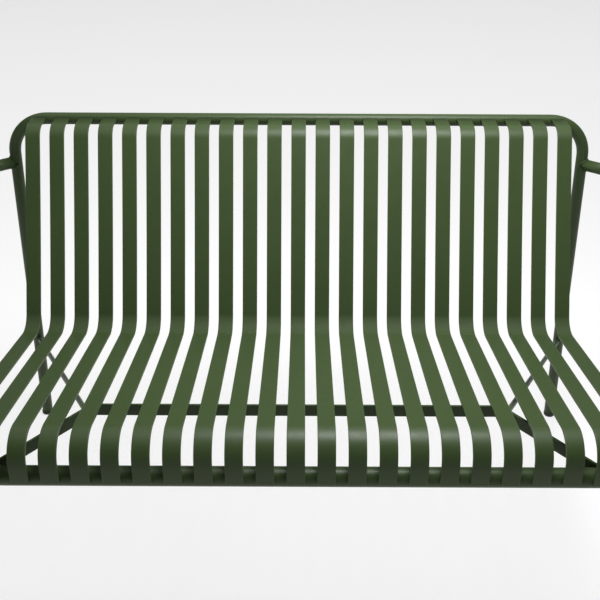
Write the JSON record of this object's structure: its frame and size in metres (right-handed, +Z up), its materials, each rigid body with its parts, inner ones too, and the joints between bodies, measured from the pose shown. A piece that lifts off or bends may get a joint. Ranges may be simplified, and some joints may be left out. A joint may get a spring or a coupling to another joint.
{
  "type": "garden bench",
  "caption": "Slatted steel garden bench with a leaning back and tubular armrests; bent flat slats run from the top rail down the back and over the seat to a round front rail.",
  "frame": {"origin": "on the floor under the centre of the whole bench's box", "axes": "+X along the bench to the sitter's left, -Y towards the front, +Z up"},
  "size_m": [1.387, 0.7416, 0.7905],
  "materials": {
    "slat_coat": "satin powder coat with a fine texture, olive green",
    "frame_coat": "satin powder coat with a fine texture, olive green",
    "foot_plastic": "moulded black, matt"
  },
  "bodies": {
    "root": {"rear_frame": "frame_coat", "slat_01": "slat_coat", "slat_02": "slat_coat", "slat_03": "slat_coat", "slat_04": "slat_coat", "slat_05": "slat_coat", "slat_06": "slat_coat", "slat_07": "slat_coat", "slat_08": "slat_coat", "slat_09": "slat_coat", "slat_10": "slat_coat", "slat_11": "slat_coat", "slat_12": "slat_coat", "slat_13": "slat_coat", "slat_14": "slat_coat", "slat_15": "slat_coat", "slat_16": "slat_coat", "slat_17": "slat_coat", "slat_18": "slat_coat", "slat_19": "slat_coat", "slat_20": "slat_coat", "slat_21": "slat_coat", "slat_22": "slat_coat", "slat_23": "slat_coat", "front_rail": "frame_coat", "brace_bar": "frame_coat", "arm_left": "frame_coat", "arm_right": "frame_coat", "brace_arm_left": "frame_coat", "brace_arm_right": "frame_coat", "stay_left": "frame_coat", "stay_right": "frame_coat", "foot_rear_left": "foot_plastic", "foot_rear_right": "foot_plastic", "foot_front_left": "foot_plastic", "foot_front_right": "foot_plastic"}
  },
  "joints": []
}
